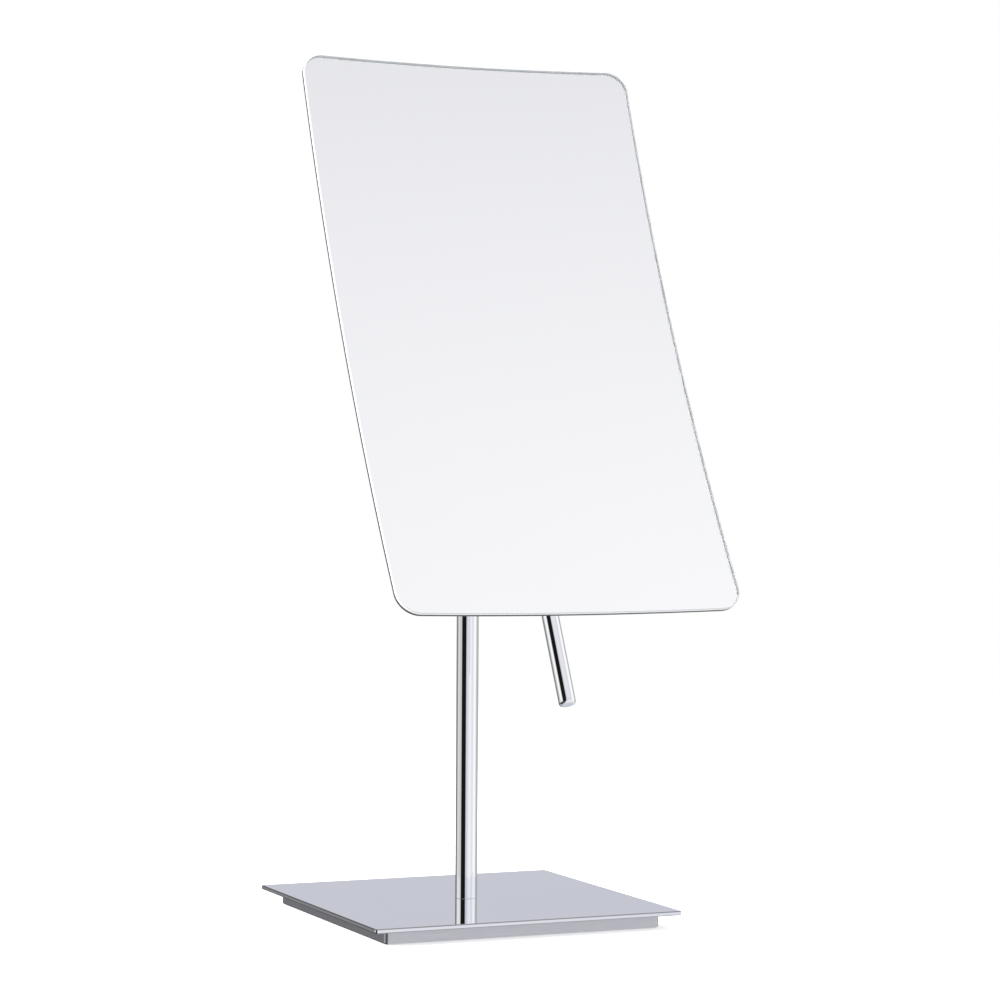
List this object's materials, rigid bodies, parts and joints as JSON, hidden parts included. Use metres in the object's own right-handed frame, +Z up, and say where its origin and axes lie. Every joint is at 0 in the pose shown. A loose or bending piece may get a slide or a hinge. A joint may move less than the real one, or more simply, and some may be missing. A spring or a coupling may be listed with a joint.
{
  "type": "extendable shaving mirror",
  "caption": "Table-standing shaving mirror: a frameless concave rectangular glass with a tilt handle, on a telescopic pole over a weighted square base.",
  "frame": {"origin": "centre of the underside of the non-slip pad, on the pole's axis, where the base stands on a table", "axes": "+Z up along the pole, -Y towards the person in front of the glass, X along the tilt axle"},
  "size_m": [0.1586, 0.1871, 0.3849],
  "materials": {
    "polished_plate": "mirror-polished stainless plate",
    "satin_block": "satin brushed steel",
    "pad_rubber": "matte non-slip foam rubber",
    "polished_pole": "polished chrome",
    "zinc_fastener": "zinc-plated steel",
    "brass_plug": "turned brass",
    "white_bearing": "acetal plastic",
    "black_rubber": "nitrile rubber",
    "spring_steel": "hardened spring steel",
    "mirror": "silvered glass with ground and polished edges",
    "panel_silver": "satin anodised aluminium sheet",
    "bond_foam": "double-sided bonding foam"
  },
  "bodies": {
    "stand": {"base_plate": "polished_plate", "base_block": "satin_block", "base_pad": "pad_rubber", "dowel_pins": "zinc_fastener", "pole_screw": "zinc_fastener", "pole_washer": "zinc_fastener", "pole_tube": "polished_pole", "foot_plug": "brass_plug", "guide_bush": "white_bearing", "tube_collar": "polished_pole"},
    "riser": {"riser_rod": "polished_pole", "slider": "white_bearing", "friction_rings": "black_rubber", "slider_screw": "zinc_fastener", "thrust_washer": "white_bearing", "swivel_screw": "zinc_fastener", "swivel_washer": "zinc_fastener"},
    "head": {"swivel_spring": "spring_steel", "swivel_arm": "polished_pole", "head_cap": "polished_pole", "tilt_axle": "polished_pole", "axle_springs": "spring_steel", "axle_nut": "polished_pole", "friction_washers": "white_bearing"},
    "mirror": {"hinge_block": "polished_pole", "hinge_screws": "zinc_fastener", "mount_disc": "satin_block", "bond_disc": "bond_foam", "back_panel": "panel_silver", "mirror_glass": "mirror", "handle_stud": "zinc_fastener", "handle": "polished_pole"}
  },
  "joints": [
    {"name": "height_slide", "type": "slide", "parent": "stand", "child": "riser", "axis": [0, 0, 1], "range_m": [0, 0.1]},
    {"name": "head_swivel", "type": "hinge", "parent": "riser", "child": "head", "pos_m": [0, 0, 0.2532], "axis": [0, 0, 1], "continuous": true},
    {"name": "mirror_tilt", "type": "hinge", "parent": "head", "child": "mirror", "pos_m": [0, -0.0325, 0.2532], "axis": [-1, 0, 0], "range_deg": [-30, 43]}
  ]
}
